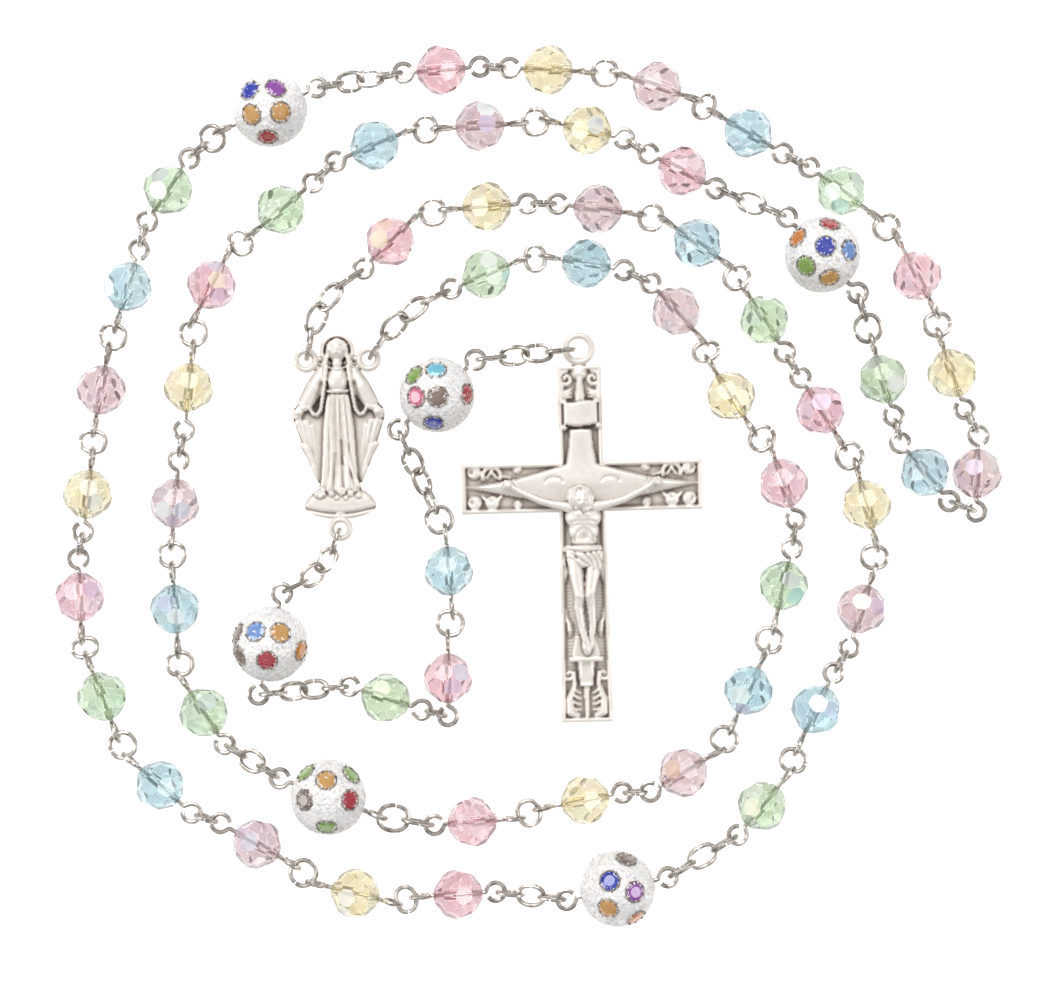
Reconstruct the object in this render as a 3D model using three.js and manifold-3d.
// A five-decade rosary laid out flat in a loose spiral: 53 small crystal beads and 6 large
// beads on wire pins, joined by oval links to a figure centrepiece and a crucifix.
// Millimetres, +Z up, standing on z = 0.
import * as THREE from "three";
import { mergeVertices } from "three/addons/utils/BufferGeometryUtils.js";
import Module from "manifold-3d";

// Driving dimensions
const SMALL_BEAD = 6.4; // diameter of the 53 small beads
const LARGE_BEAD = 10; // diameter of the 6 large beads
const WIRE = 0.64; // diameter of the wire of pins and links
const EYE_RADIUS = 1.2; // centreline radius of the eye at each end of a pin
const NECK = 0.28; // bare wire between a bead and the outside of its eye
const LONGEST_NECK = 0.95;
const LINK_LENGTH = 3.4; // centreline length of a link between two small beads
const LINK_WIDTH = 3.3; // centreline width of the same link
const RUN_LINK_LENGTH = 3.4; // wanted centreline length of a link beside a large bead
const RUN_LINK_WIDTH = 2.5;
const FIT = 0.3; // clearance between pieces that move on each other
const SEAT = -0.25; // negative clearance where links of one piece are joined
const CAST_THICKNESS = 2; // of the centrepiece and of the cross
const CENTRE_HEIGHT = 24.4; // crown of the head to the foot of the base
const CENTRE_SPAN = 12.2; // palm to palm
const CENTRE_BASE = 9.7; // width of the oval base
const CENTRE_RING = 1.25; // centreline radius of the centrepiece's three rings
const CENTRE_RING_WIRE = 0.8;
const CROSS_HEIGHT = 47.1;
const CROSS_WIDTH = 31.8;
const CROSS_BAR = 6.6; // height of the crossbar
const CROSS_TOP_WIDTH = 5.8;
const CROSS_FOOT_WIDTH = 6.8;
const CROSS_RING = 1.75; // centreline radius of the crucifix's ring
const CROSS_RING_WIRE = 0.9;
const CORPUS_SPAN = 19; // palm to palm
const RING_LEVEL = RUN_LINK_WIDTH / 2 + WIRE / 2 + 0.05; // height of the cast pieces' rings

const SMOOTHING = 0.05; // how far a joined surface may move to lose needless triangles
const DEPTH_IN_BEAD = 0.5; // how far a pin reaches into a bead that is fixed on it

const SETTLING_PASSES = 16;
const SETTLING_SHARE = 0.25; // how far each pass turns a wire towards an even pull
const EYE_SIDES = 6;
const LINK_SIDES = 8;
const WIRE_SIDES = 4;
const BEAD_SIDES = 8;
const LARGE_BEAD_SIDES = 10;

const STRIP = (WIRE * Math.sqrt(Math.PI)) / 2; // side of a square as large as the wire's section
const EYE_OUT = NECK + WIRE / 2 + EYE_RADIUS; // from a bead's surface to its eye's centre
const BAR_IN_EYE = EYE_RADIUS - WIRE - FIT; // from an eye's centre to the link bar inside it
const PITCH = SMALL_BEAD + 2 * EYE_OUT + LINK_LENGTH + 2 * BAR_IN_EYE;

// Where each bead lies, in the order of the prayers: [x, y], or [x, y, heading in degrees]
// where the wire doesn't point along the row. The row is spread evenly where beads, links or the
// cross need more room than these drawn sizes.
const DRAWN_PITCH = 13.92; // between two small beads
const DRAWN_RUN = 13.9; // between a large bead and its nearest neighbour
const DRAWN_LARGE_BEAD = 10;
const DRAWN_CROSS = { height: 47.1, width: 31.8 };
const SPREAD = Math.max(
  PITCH / DRAWN_PITCH,
  (DRAWN_RUN + (LARGE_BEAD - DRAWN_LARGE_BEAD) / 2) / DRAWN_RUN,
  CROSS_HEIGHT / DRAWN_CROSS.height,
  CROSS_WIDTH / DRAWN_CROSS.width,
);
const DECADES = [
  [
    [-18.2, 31.8, 45], [-5.5, 36.4], [9.1, 36.1], [22.2, 31.6], [31, 21.5],
    [38.4, 9.7], [44.4, -2.8], [43.8, -16.5], [37.8, -29.7], [30.7, -42.4],
  ],
  [
    [-9.3, -54], [-22.8, -53.9], [-35.7, -47.4], [-48.5, -39.7], [-56.1, -28],
    [-59, -14.9], [-58, -1.4], [-56.2, 12.3], [-52.7, 25.9], [-47.4, 38.6],
  ],
  [
    [-11.5, 54.4], [2.6, 54.4], [16.9, 52.2], [28.9, 46.1], [41.1, 38.5],
    [51.1, 27.3], [55.7, 14.5], [59, 1.3, -92], [52.1, 1.5, 130], [46.6, 13.7],
  ],
  [
    [20.2, 41.1], [7.7, 46.5], [-6.4, 47], [-20.3, 44.5], [-32.6, 36],
    [-41.7, 26.1], [-44.7, 12.6], [-46.5, -2.6], [-46.5, -16.5], [-42.7, -30.1],
  ],
  [
    [-7.4, -44.5], [7.4, -41.6], [20.3, -38], [28.9, -27.2], [33.5, -13.4],
    [33.5, 0], [26.6, 11.5], [19.4, 22.7], [7.6, 28.9], [-5.6, 27.5],
  ],
];
const LARGE_IN_LOOP = [[11.6, -53], [-33.9, 49], [38.4, 29.9], [-26.2, -41]];
const LARGE_NEAR_CENTRE = [-33.8, -21, -103];
const LARGE_NEAR_CROSS = [-12, 11.6, 42];
const PENDANT_SMALL = [[-18.8, -28.2, -18], [-10.6, -25.6, 90], [-10.5, -11.5, 95]];
const RUN_BOWS = { 1: 2, 10: 1.3, 11: 1.6 }; // how far the middle of a run of links lies to its left
const CENTRE_PLACE = { x: -25.1, y: 7.45, turn: 1.2 };
const CROSS_PLACE = { x: 6.6, y: 17.8, turn: 1.4 }; // the crucifix's ring

const PASTELS = { pink: 0xf0b2bf, yellow: 0xf1e6a8, lilac: 0xcdb5c8, blue: 0x9fd0de, green: 0xb4d8a4 };
const ORDER = ["pink", "yellow", "lilac", "blue", "green"];
const PENDANT_ORDER = ["green", "pink", "blue"];
const HOLE = (WIRE + 2 * FIT) / Math.cos(Math.PI / BEAD_SIDES); // across the corners of a bead's hole
const SILVER = { color: 0xcfcac4, roughness: 0.25, metalness: 1 };
const CAST = { color: 0xb3aba2, roughness: 0.38, metalness: 1 };
const GLITTER = { color: 0xdedad6, roughness: 0.55, metalness: 0.6 };

const FLAT = 0; // roll of a ring of wire about its length, in degrees
const UPRIGHT = 90;
const UP = new THREE.Vector3(0, 0, 1);
const wasm = await Module();
wasm.setup();

// ---- solids ---------------------------------------------------------------------------------

// A closed geometry, moved by a matrix, as a solid that can be joined and cut.
function solid(geometry, matrix = new THREE.Matrix4()) {
  const bare = geometry.clone().deleteAttribute("normal").deleteAttribute("uv").applyMatrix4(matrix);
  const merged = mergeVertices(bare, 1e-4);
  return new wasm.Manifold(
    new wasm.Mesh({
      numProp: 3,
      vertProperties: merged.attributes.position.array,
      triVerts: new Uint32Array(merged.index.array),
    }),
  );
}

function join(pieces) {
  return pieces.reduce((whole, piece) => whole.add(piece)).simplify(SMOOTHING);
}

// The solid as a mesh whose own origin is the given point.
function meshOf(name, shape, look, origin = new THREE.Vector3()) {
  const { vertProperties, triVerts } = shape.getMesh();
  const geometry = new THREE.BufferGeometry()
    .setAttribute("position", new THREE.BufferAttribute(new Float32Array(vertProperties), 3))
    .setIndex(new THREE.BufferAttribute(triVerts, 1))
    .translate(-origin.x, -origin.y, -origin.z);
  geometry.computeVertexNormals();
  const mesh = new THREE.Mesh(geometry, new THREE.MeshStandardMaterial(look));
  mesh.name = name;
  mesh.position.copy(origin);
  return mesh;
}

function glass(colour) {
  return { color: PASTELS[colour], roughness: 0.08, metalness: 0 };
}

// ---- frames along the chain -----------------------------------------------------------------

function headingVector(degrees) {
  const angle = THREE.MathUtils.degToRad(degrees);
  return new THREE.Vector3(Math.cos(angle), Math.sin(angle), 0);
}

// The level direction across a run, and the direction square to both.
function across(along) {
  return new THREE.Vector3().crossVectors(UP, along).normalize();
}

// A matrix that lays +X along a direction, +Y across it and +Z as near to up as it goes.
function frameAt(point, along) {
  const side = across(along);
  const top = new THREE.Vector3().crossVectors(along, side);
  return new THREE.Matrix4().makeBasis(along, side, top).setPosition(point);
}

function step(point, direction, distance) {
  return point.clone().addScaledVector(direction, distance);
}

// ---- wire work ------------------------------------------------------------------------------

// A closed oval link, rolled about its length: 0 lies flat and 90 stands upright. Its ends and
// its sides are straight.
function ring(centre, along, roll, length, width) {
  const geometry = new THREE.TorusGeometry(width / 2, WIRE / 2, WIRE_SIDES, LINK_SIDES);
  geometry.rotateZ(Math.PI / LINK_SIDES);
  const stretch = length / 2 - (width / 2) * Math.cos(Math.PI / LINK_SIDES);
  const places = geometry.attributes.position;
  for (let i = 0; i < places.count; i += 1) {
    places.setX(i, places.getX(i) + Math.sign(places.getX(i)) * stretch);
  }
  geometry.rotateX(THREE.MathUtils.degToRad(roll));
  return solid(geometry, frameAt(centre, along));
}

// A straight length of wire.
function rod(from, to) {
  const along = to.clone().sub(from);
  const geometry = new THREE.CylinderGeometry(WIRE / 2, WIRE / 2, along.length(), WIRE_SIDES);
  geometry.rotateY(Math.PI / WIRE_SIDES).rotateZ(-Math.PI / 2).translate(along.length() / 2, 0, 0);
  return solid(geometry, frameAt(from, along.normalize()));
}

// ---- beads ----------------------------------------------------------------------------------

// The half outline of a bead, from one hole along the outside to the other.
function smallBeadOutline(radius) {
  return [[0.42, -0.93], [1, -0.36], [1, 0.36], [0.42, 0.93]].map(
    ([out, along]) => new THREE.Vector2(out * radius, along * radius),
  );
}

function largeBeadOutline(radius) {
  return [-70, -36, 0, 36, 70].map((latitude) => {
    const angle = THREE.MathUtils.degToRad(latitude);
    return new THREE.Vector2(Math.cos(angle) * radius, Math.sin(angle) * radius);
  });
}

// A bead turned about its wire, with a hole through it or solid.
function bead(centre, along, outline, sides, hole = 0) {
  const first = outline[0];
  const last = outline[outline.length - 1];
  const inner = hole / 2;
  const profile = [new THREE.Vector2(inner, first.y), ...outline, new THREE.Vector2(inner, last.y)];
  if (hole) profile.push(new THREE.Vector2(inner, first.y));
  const geometry = new THREE.LatheGeometry(profile, sides);
  const side = across(along);
  const top = new THREE.Vector3().crossVectors(along, side);
  const place = new THREE.Matrix4().makeBasis(side.clone().negate(), along, top).setPosition(centre);
  return solid(geometry, place);
}

// ---- the chain ------------------------------------------------------------------------------

function smallBead([x, y, heading], colour, name) {
  const centre = new THREE.Vector3(x * SPREAD, y * SPREAD, SMALL_BEAD / 2);
  return { kind: "small", name, colour, centre, heading, radius: SMALL_BEAD / 2 };
}

function largeBead([x, y, heading], name) {
  const centre = new THREE.Vector3(x * SPREAD, y * SPREAD, LARGE_BEAD / 2);
  return { kind: "large", name, centre, heading, radius: LARGE_BEAD / 2 };
}

function castRing(centre, radius, wire) {
  return { kind: "ring", centre, radius: 0, eyeRadius: radius, wire };
}

// Gives each bead the direction of its wire: its own heading, or the one at which the links at
// its two ends pull on it evenly.
function setDirections(chain) {
  chain.forEach((item, i) => {
    const before = chain[Math.max(i - 1, 0)].centre;
    const after = chain[Math.min(i + 1, chain.length - 1)].centre;
    const level = after.clone().sub(before).setZ(0).normalize();
    item.along = item.heading === undefined ? level : headingVector(item.heading);
  });
  for (let pass = 0; pass < SETTLING_PASSES; pass += 1) {
    chain.slice(1, -1).forEach((item, i) => {
      if (item.heading !== undefined) return;
      const pull = [gapBetween(chain[i], item), gapBetween(item, chain[i + 2])];
      const even = pull[0].direction.clone().add(pull[1].direction).setZ(0).normalize();
      item.along = item.along.clone().lerp(even, SETTLING_SHARE).normalize();
    });
  }
}

// What joins one item to the next: the two eyes, and the links between them.
function gapBetween(from, to) {
  const short = from.kind === "small" && to.kind === "small";
  const leave = step(from.centre, from.along, from.radius);
  const enter = step(to.centre, to.along, -to.radius);
  const reach = leave.distanceTo(enter);
  const spare = (reach - LINK_LENGTH - 2 * BAR_IN_EYE) / 2;
  const out = short ? THREE.MathUtils.clamp(spare, EYE_OUT, EYE_OUT - NECK + LONGEST_NECK) : EYE_OUT;
  const start = eyeOf(from, leave, from.along, out);
  const end = eyeOf(to, enter, to.along.clone().negate(), out);
  const between = end.centre.clone().sub(start.centre);
  const span = between.length();
  const direction = between.normalize();
  const room = span - start.bar - end.bar;
  const overlap = WIRE + SEAT;
  const count = short ? 1 : Math.max(2, Math.round((room - overlap) / (RUN_LINK_LENGTH - overlap)));
  const length = (room + overlap * (count - 1)) / count;
  return { start, end, direction, count, length, overlap, short, flatStart: from.flatLink };
}

function eyeOf(item, surface, outward, out) {
  if (item.kind === "ring") {
    const bar = item.eyeRadius - item.wire / 2 - WIRE / 2 - FIT;
    return { centre: item.centre, outward, radius: item.eyeRadius, bar, out: 0 };
  }
  return { centre: step(surface, outward, out), outward, radius: EYE_RADIUS, bar: BAR_IN_EYE, out };
}

// The links of a gap; seats says at which ends the row is joined to the eye it hangs in, and
// bow how far the middle of the row lies to its left.
function linksOf(gap, seats = {}, bow = 0) {
  const { start, direction, count, length, overlap } = gap;
  const pull = FIT - SEAT;
  const total = count * length - (count - 1) * overlap;
  const place = (distance) => {
    const part = (distance - start.bar) / total;
    const aside = 4 * bow * part * (1 - part);
    return step(step(start.centre, direction, distance), across(direction), aside);
  };
  return Array.from({ length: count }, (_, i) => {
    const begin = start.bar + i * (length - overlap);
    const near = place(begin + (i === 0 && seats.start ? pull : 0));
    const far = place(begin + length - (i === count - 1 && seats.end ? pull : 0));
    const along = far.clone().sub(near);
    const middle = near.clone().lerp(far, 0.5);
    const flatInEye = (i === 0 && gap.firstRoll === FLAT) || (i === count - 1 && gap.lastRoll === FLAT);
    const width = gap.short || flatInEye ? LINK_WIDTH : RUN_LINK_WIDTH;
    return ring(middle, along.clone().normalize(), gap.firstRoll + i * gap.turn, along.length(), width);
  });
}

// A pin's eye with its neck, cut from one strip. The neck reaches back by the given root.
function eye(end, roll, root) {
  const corners = Array.from({ length: EYE_SIDES }, (_, i) => ((i + 0.5) * 2 * Math.PI) / EYE_SIDES - Math.PI);
  const outline = (radius) => {
    const reach = radius / Math.cos(Math.PI / EYE_SIDES);
    return corners.map((angle) => new THREE.Vector2(Math.cos(angle) * reach, Math.sin(angle) * reach));
  };
  const side = -end.radius - STRIP / 2;
  const neck = [
    new THREE.Vector2(side, STRIP / 2),
    new THREE.Vector2(-root, STRIP / 2),
    new THREE.Vector2(-root, -STRIP / 2),
    new THREE.Vector2(side, -STRIP / 2),
  ];
  const shape = new THREE.Shape([...outline(end.radius + STRIP / 2), ...neck]);
  shape.holes.push(new THREE.Path(outline(end.radius - STRIP / 2)));
  const geometry = new THREE.ExtrudeGeometry(shape, { depth: STRIP, bevelEnabled: false });
  geometry.translate(0, 0, -STRIP / 2).rotateX(THREE.MathUtils.degToRad(roll));
  return solid(geometry, frameAt(end.centre, end.outward));
}

// Where a piece turns on the one before it: the level bar of wire that both pass round.
function pivotAtStart({ start, direction, firstRoll }) {
  return step(start.centre, direction, firstRoll === FLAT ? start.bar : start.radius);
}

function pivotAtEnd({ end, direction, lastRoll }) {
  return step(end.centre, direction, lastRoll === FLAT ? -end.bar : -end.radius);
}

// Gives the links of each gap their roll. A single link lies flat between upright eyes, except
// every third one and the last one of an arm. A longer run ends upright in a level ring, and
// its links turn by about a right angle from one to the next; a run of two ends flat.
function rollLinks(gap, index, gaps) {
  if (gap.short) {
    const upright = index % 3 === 2 || index === gaps.length - 1;
    const roll = upright ? UPRIGHT : FLAT;
    return { ...gap, firstRoll: roll, lastRoll: roll, turn: 0 };
  }
  const firstRoll = gap.flatStart ? FLAT : UPRIGHT;
  const lastRoll = gap.count === 2 ? UPRIGHT - firstRoll : UPRIGHT;
  const steps = gap.count - 1;
  const halfTurns = Math.round((90 * steps - lastRoll + firstRoll) / 180);
  return { ...gap, firstRoll, lastRoll, turn: (180 * halfTurns + lastRoll - firstRoll) / steps };
}

const rosary = new THREE.Group();

// Adds a mesh, with the joint that it turns on: parent, kind, pivot and axis.
function addPiece(name, shape, look, origin, joint) {
  const mesh = meshOf(name, shape, look, origin);
  mesh.userData.joint = joint;
  rosary.add(mesh);
}

// Builds one arm of the chain from a ring of the centrepiece outwards. Two small beads of a
// decade are one piece, and the other beads turn on their own pins. The last item is only
// reached for: it belongs to the piece that the arm ends at.
function buildArm(items, runs) {
  setDirections(items);
  const gaps = items.slice(1).map((item, i) => gapBetween(items[i], item)).map(rollLinks);
  let parent = "centrepiece";
  let lifts = 0;

  // The first of every four pieces lifts, the next two dip and the fourth lifts again, so the
  // folded chain goes to and fro instead of curling up.
  function lift(pivot, direction) {
    const way = lifts % 4 === 0 || lifts % 4 === 3 ? -1 : 1;
    lifts += 1;
    return { type: "lift", parent, pivot, axis: across(direction).multiplyScalar(way) };
  }

  function addRun(gap) {
    const { name, bow } = runs.shift();
    const joint = lift(pivotAtStart(gap), gap.direction);
    addPiece(name, join(linksOf(gap, {}, bow)), SILVER, gap.start.centre, joint);
    parent = name;
  }

  // The eyes of one bead's pin, and the single link that follows it.
  function pinOf(into, out, root, seats) {
    const square = (roll) => UPRIGHT - roll;
    const eyes = [
      eye(into.end, square(into.lastRoll), into.end.radius + root(into.end)),
      eye(out.start, square(out.firstRoll), out.start.radius + root(out.start)),
    ];
    const linked = out.short && out !== gaps[gaps.length - 1];
    return linked ? [...eyes, ...linksOf(out, seats)] : eyes;
  }

  function addPair(first, second, index, joint) {
    const [into, inner, out] = gaps.slice(index - 1, index + 2);
    const intoBead = (end) => end.out - end.radius + DEPTH_IN_BEAD;
    const beads = [first, second].map((item) =>
      bead(item.centre, item.along, smallBeadOutline(item.radius), BEAD_SIDES),
    );
    const metal = [
      ...pinOf(into, inner, intoBead, { start: true, end: true }),
      ...pinOf(inner, out, intoBead, { start: true }),
    ];
    addPiece(first.name, join([...beads, ...metal]), glass(first.colour), first.centre, joint);
    parent = first.name;
  }

  function addSpinningBead(item, index, joint) {
    const [into, out] = gaps.slice(index - 1, index + 1);
    const metal = pinOf(into, out, () => (WIRE + NECK) / 2, { start: true });
    const shaft = rod(...[into.end, out.start].map((end) => step(end.centre, end.outward, -end.radius)));
    addPiece(`${item.name}_pin`, join([...metal, shaft]), SILVER, item.centre, joint);
    parent = `${item.name}_pin`;
    const large = item.kind === "large";
    const outline = large ? largeBeadOutline(item.radius) : smallBeadOutline(item.radius);
    const body = bead(item.centre, item.along, outline, large ? LARGE_BEAD_SIDES : BEAD_SIDES, HOLE);
    const look = large ? GLITTER : glass(item.colour);
    const spin = { type: "spin", parent, pivot: item.centre, axis: item.along };
    addPiece(`${item.name}_bead`, body, look, item.centre, spin);
  }

  let index = 1;
  while (index < items.length - 1) {
    const item = items[index];
    const into = gaps[index - 1];
    if (!into.short) addRun(into);
    const joint = lift(pivotAtEnd(into), into.direction);
    if (item.pairs) {
      addPair(item, items[index + 1], index, joint);
      index += 2;
    } else {
      addSpinningBead(item, index, joint);
      index += 1;
    }
  }
  const last = gaps[gaps.length - 1];
  if (last.short) return null;
  addRun(last);
  return lift(pivotAtEnd(last), last.direction);
}

// ---- cast pieces ----------------------------------------------------------------------------

// A symmetric outline given by its right half, drawn from the top to the foot.
function plate(half, depth, bottom = 0) {
  const left = [...half].reverse().map(([x, y]) => [-x, y]);
  const shape = new THREE.Shape([...half, ...left].map(([x, y]) => new THREE.Vector2(x, y)));
  const geometry = new THREE.ExtrudeGeometry(shape, { depth, bevelEnabled: false });
  return solid(geometry.translate(0, 0, bottom));
}

// A round lump: an ellipsoid.
function lump(x, y, z, sizeX, sizeY, sizeZ, turn = 0) {
  const geometry = new THREE.SphereGeometry(0.5, 6, 4);
  geometry.rotateX(Math.PI / 2).scale(sizeX, sizeY, sizeZ).rotateZ(turn).translate(x, y, z);
  return solid(geometry);
}

// A limb between two points, thinner at its far end.
function limb(from, to, startWidth, endWidth) {
  const begin = new THREE.Vector3(...from);
  const along = new THREE.Vector3(...to).sub(begin);
  const geometry = new THREE.CylinderGeometry(endWidth / 2, startWidth / 2, along.length(), 5);
  geometry.translate(0, along.length() / 2, 0);
  const turn = new THREE.Quaternion().setFromUnitVectors(new THREE.Vector3(0, 1, 0), along.normalize());
  return solid(geometry, new THREE.Matrix4().compose(begin, turn, new THREE.Vector3(1, 1, 1)));
}

function ringAt(x, y, z, radius, wire) {
  const geometry = new THREE.TorusGeometry(radius, wire / 2, WIRE_SIDES, 10);
  return solid(geometry.translate(x, y, z));
}

// What lies below a level is cut away.
function cutBelow(shape, level) {
  const size = 4 * CROSS_HEIGHT;
  const box = new THREE.BoxGeometry(size, size, size).translate(0, 0, level - size / 2);
  return shape.subtract(solid(box));
}

// The centrepiece stands upright in its own frame, with its origin at the middle of its back:
// a standing woman in a mantle with open arms, a halo behind her head and an oval base.
const HALF_CENTRE = CENTRE_HEIGHT / 2;
const HALF_SPAN = CENTRE_SPAN / 2;
const SHOULDER_LEVEL = HALF_CENTRE - 4.9;
const HAND_LEVEL = SHOULDER_LEVEL - 5.6;
const HEAD_LEVEL = HALF_CENTRE - 1.9;
const BASE_LEVEL = -HALF_CENTRE + 1.7;
const SHOULDER_RINGS = { out: 4.15, level: SHOULDER_LEVEL + 1.6 };
const CENTRE_RINGS = {
  left: [-SHOULDER_RINGS.out, SHOULDER_RINGS.level],
  right: [SHOULDER_RINGS.out, SHOULDER_RINGS.level],
  foot: [0, -HALF_CENTRE - CENTRE_RING],
};

function centrepiece() {
  const gown = plate(
    [[0, HEAD_LEVEL], [1.3, SHOULDER_LEVEL + 1.2], [2.7, SHOULDER_LEVEL], [2.2, HAND_LEVEL],
      [3.1, BASE_LEVEL + 4], [3.7, BASE_LEVEL + 0.6], [3.2, BASE_LEVEL]],
    CAST_THICKNESS,
  );
  const mantle = plate(
    [[0, SHOULDER_LEVEL + 0.5], [2.4, SHOULDER_LEVEL + 0.3], [HALF_SPAN - 0.5, HAND_LEVEL + 0.9],
      [HALF_SPAN - 0.7, HAND_LEVEL - 0.6], [HALF_SPAN - 1.6, HAND_LEVEL - 3.4], [2, HAND_LEVEL - 2.4]],
    CAST_THICKNESS - 0.5,
  );
  const folds = [-1, 0, 1].map((i) =>
    limb([i * 0.9, HAND_LEVEL + 1, CAST_THICKNESS], [i * 1.9, BASE_LEVEL + 0.4, CAST_THICKNESS - 0.1], 0.9, 1.5),
  );
  const arms = [-1, 1].map((side) =>
    limb([side * 2, SHOULDER_LEVEL - 0.4, CAST_THICKNESS - 0.2],
      [side * (HALF_SPAN - 0.5), HAND_LEVEL, CAST_THICKNESS - 0.6], 1.7, 1),
  );
  const hands = [-1, 1].map((side) =>
    lump(side * (HALF_SPAN - 0.55), HAND_LEVEL - 0.1, CAST_THICKNESS - 0.7, 1.1, 1.5, 0.9, side * 0.5),
  );
  const bust = lump(0, SHOULDER_LEVEL - 1.4, CAST_THICKNESS - 0.3, 4, 5, 2);
  const veil = lump(0, HEAD_LEVEL - 0.3, CAST_THICKNESS - 0.6, 3, 4.2, 2.6);
  const head = lump(0, HEAD_LEVEL, CAST_THICKNESS + 0.3, 1.9, 2.5, 2);
  const halo = ringAt(0, HEAD_LEVEL - 0.4, 0.9, 2.1, 0.7);
  const halfBase = new THREE.CylinderGeometry(CENTRE_BASE / 2, CENTRE_BASE / 2, CAST_THICKNESS, 16);
  halfBase.rotateX(Math.PI / 2).scale(1, 0.36, 1).translate(0, BASE_LEVEL, CAST_THICKNESS / 2);
  const rings = Object.values(CENTRE_RINGS).map(([x, y]) =>
    ringAt(x, y, RING_LEVEL, CENTRE_RING, CENTRE_RING_WIRE),
  );
  const lugs = [
    ...[-1, 1].map((side) =>
      limb([side * 2, SHOULDER_LEVEL - 0.5, 1],
        [side * (SHOULDER_RINGS.out - 0.85), SHOULDER_RINGS.level - 0.7, RING_LEVEL - 0.1], 1.6, 0.8),
    ),
    limb([0, BASE_LEVEL, 1], [0, -HALF_CENTRE - 0.05, RING_LEVEL - 0.1], 1.8, 0.9),
  ];
  const figure = join([
    gown, mantle, bust, veil, head, halo, solid(halfBase), ...folds, ...arms, ...hands, ...rings, ...lugs,
  ]);
  return cutBelow(figure, 0);
}

// The crucifix hangs down from its ring, which is its origin.
const CROSS_TOP = -CROSS_RING - CROSS_RING_WIRE / 2;
const CROSS_FOOT = CROSS_TOP - CROSS_HEIGHT;
const BAR_TOP = CROSS_TOP - 0.27 * CROSS_HEIGHT;
const BAR_MIDDLE = BAR_TOP - CROSS_BAR / 2;

function crossPlate(inset, depth, bottom) {
  const top = CROSS_TOP_WIDTH / 2 - inset;
  const foot = CROSS_FOOT_WIDTH / 2 - inset;
  const arm = CROSS_WIDTH / 2 - inset;
  const half = [
    [top, CROSS_TOP - inset],
    [top, BAR_TOP - inset],
    [arm, BAR_TOP - inset],
    [arm, BAR_TOP - CROSS_BAR + inset],
    [top, BAR_TOP - CROSS_BAR + inset],
    [foot, CROSS_FOOT + inset],
  ];
  return plate(half, depth, bottom);
}

const PANEL_TOP = CAST_THICKNESS + 0.3;
const SCROLL_LEVEL = CROSS_TOP - 6.3;

function cross() {
  const scroll = new THREE.BoxGeometry(4.6, 3.5, 0.9).translate(0, SCROLL_LEVEL, CAST_THICKNESS + 0.3);
  const ringLug = limb([0, CROSS_TOP - 0.8, 1.1], [0, CROSS_TOP + 0.4, RING_LEVEL], 2.2, 1.2);
  const footLeaf = lump(0, CROSS_FOOT + 3.6, CAST_THICKNESS, 4.6, 5.4, 1.6);
  const shape = join([
    crossPlate(0, CAST_THICKNESS, 0),
    crossPlate(0.8, 0.6, CAST_THICKNESS - 0.3),
    solid(scroll),
    ringLug,
    footLeaf,
    ringAt(0, 0, RING_LEVEL, CROSS_RING, CROSS_RING_WIRE),
  ]);
  return cutBelow(shape, 0);
}

// The corpus lies on the cross, from the palms on the crossbar down to a small foot block.
function corpus() {
  const back = PANEL_TOP + FIT;
  const level = back + 0.9;
  const palm = CORPUS_SPAN / 2;
  const neck = BAR_MIDDLE - 2.4;
  const hips = neck - 6.4;
  const knees = hips - 5.6;
  const feet = knees - 6.2;
  const shape = join([
    lump(-0.3, neck + 1.3, level + 0.8, 2.1, 2.6, 2.3, 0.2),
    lump(0, neck - 2.2, level, 3.7, 5.4, 2.1),
    lump(0, neck - 5, level, 2.9, 4.6, 1.9),
    lump(0, hips, level, 3.7, 3.6, 2.3),
    lump(0, neck - 0.1, level, 1.5, 2.2, 1.4),
    ...[-1, 1].flatMap((side) => [
      limb([side * 1.3, neck - 0.9, level], [side * 5.6, BAR_MIDDLE - 0.7, level - 0.1], 1.4, 1),
      limb([side * 5.4, BAR_MIDDLE - 0.8, level - 0.1], [side * (palm - 0.4), BAR_MIDDLE + 1, level - 0.3], 1.1, 0.7),
      lump(side * palm, BAR_MIDDLE + 1.2, level - 0.3, 1.5, 1.1, 0.8, side * 0.5),
      limb([side * 0.9, hips - 0.6, level], [side * 0.8 + 0.5, knees, level + 0.5], 1.9, 1.2),
      limb([side * 0.8 + 0.5, knees + 0.2, level + 0.5], [side * 0.25, feet, level - 0.2], 1.3, 0.8),
    ]),
    lump(0, feet - 0.6, level, 1.5, 2.4, 1.3),
  ]);
  const block = new THREE.BoxGeometry(3.8, 3, 0.9).translate(0, feet - 0.8, back + 0.45);
  return cutBelow(shape.add(solid(block)), back);
}

// ---- the whole rosary -----------------------------------------------------------------------

function placed(local, { x, y, turn }) {
  return new THREE.Vector3(local[0], local[1], RING_LEVEL)
    .applyAxisAngle(UP, THREE.MathUtils.degToRad(turn))
    .add(new THREE.Vector3(x * SPREAD, y * SPREAD, 0));
}

function castMesh(name, shape, place, joint) {
  const mesh = meshOf(name, shape, CAST);
  mesh.position.set(place.x * SPREAD, place.y * SPREAD, 0);
  mesh.rotation.z = THREE.MathUtils.degToRad(place.turn);
  mesh.userData.joint = joint;
  rosary.add(mesh);
}

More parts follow.
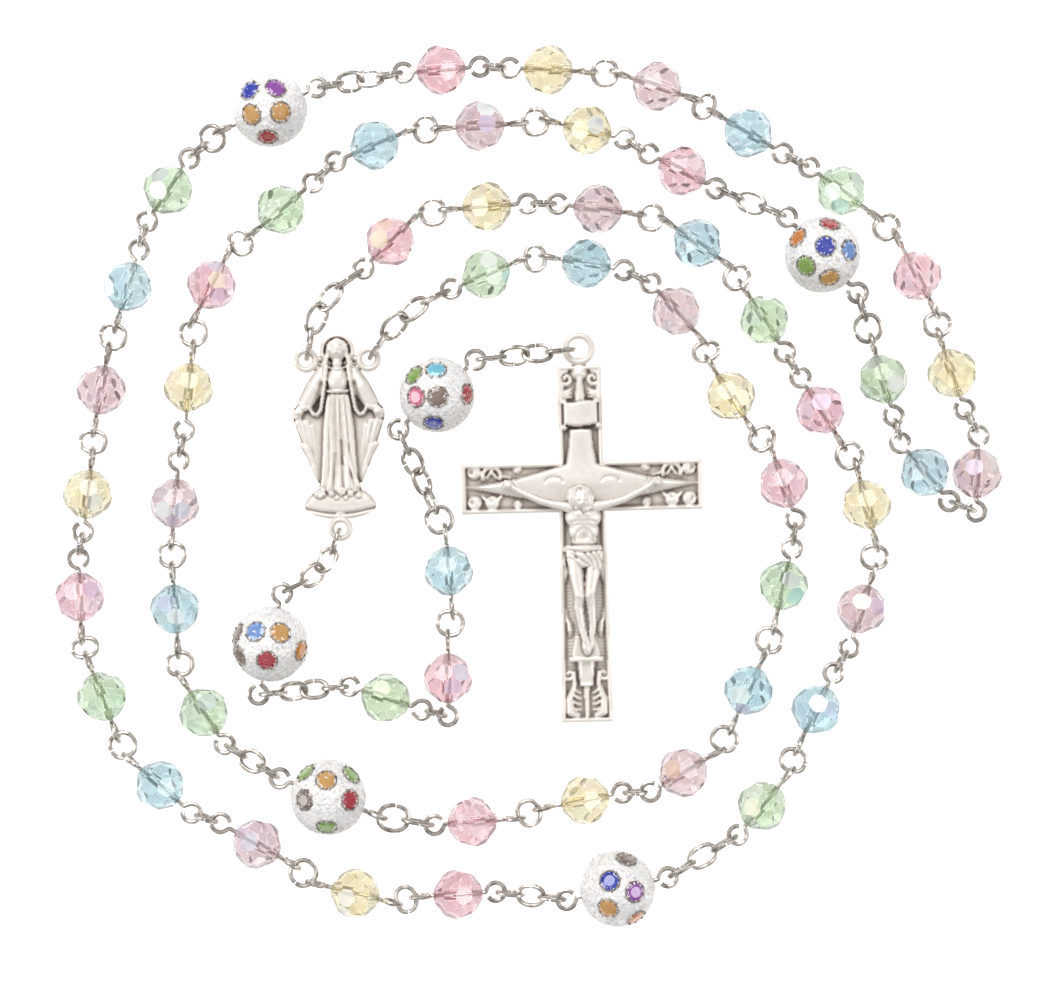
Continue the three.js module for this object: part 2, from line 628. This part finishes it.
const centreRing = (local) => castRing(placed(local, CENTRE_PLACE), CENTRE_RING, CENTRE_RING_WIRE);
const crossRing = castRing(placed([0, 0], CROSS_PLACE), CROSS_RING, CROSS_RING_WIRE);
const twoDigits = (number) => String(number).padStart(2, "0");

// Small beads in prayer order; a pair carries its name on whichever bead its arm meets first.
const decades = DECADES.map((places, decade) =>
  places.map((place, i) => {
    const pair = decade * 5 + Math.floor(i / 2) + 1;
    return { ...smallBead(place, ORDER[i % 5], `bead_pair_${twoDigits(pair)}`), pairs: true };
  }),
);
const loopLarge = LARGE_IN_LOOP.map((place, i) => largeBead(place, `large_${i + 1}`));

function backwards(items) {
  return [...items].reverse().map((item) => ({
    ...item,
    heading: item.heading === undefined ? undefined : item.heading + 180,
  }));
}

function runsNamed(numbers) {
  return numbers.map((number) => ({ name: `chain_${twoDigits(number)}`, bow: RUN_BOWS[number] ?? 0 }));
}

castMesh("centrepiece", centrepiece(), CENTRE_PLACE, null);

buildArm(
  [
    centreRing(CENTRE_RINGS.left), ...decades[0], loopLarge[0], ...decades[1], loopLarge[1],
    ...decades[2].slice(0, 9),
  ],
  runsNamed([1, 2, 3, 4, 5]),
);
buildArm(
  [
    centreRing(CENTRE_RINGS.right), ...backwards(decades[4]), ...backwards([loopLarge[3]]),
    ...backwards(decades[3]), ...backwards([loopLarge[2]]), ...backwards(decades[2].slice(7)),
  ],
  runsNamed([10, 9, 8, 7, 6]),
);
const crossJoint = buildArm(
  [
    centreRing(CENTRE_RINGS.foot),
    largeBead(LARGE_NEAR_CENTRE, "large_5"),
    ...PENDANT_SMALL.map((place, i) => ({
      ...smallBead(place, PENDANT_ORDER[i], `pendant_${i + 1}`),
      flatLink: i === PENDANT_SMALL.length - 1,
    })),
    largeBead(LARGE_NEAR_CROSS, "large_6"),
    crossRing,
  ],
  runsNamed([11, 12, 13, 14]),
);
castMesh("crucifix_cross", cross(), CROSS_PLACE, crossJoint);
castMesh("crucifix_corpus", corpus(), CROSS_PLACE, null);

// The origin is the middle of the bottom of the whole rosary.
const extent = new THREE.Box3().setFromObject(rosary);
const middle = extent.getCenter(new THREE.Vector3());
rosary.position.set(-middle.x, -middle.y, -extent.min.z);

export default rosary;
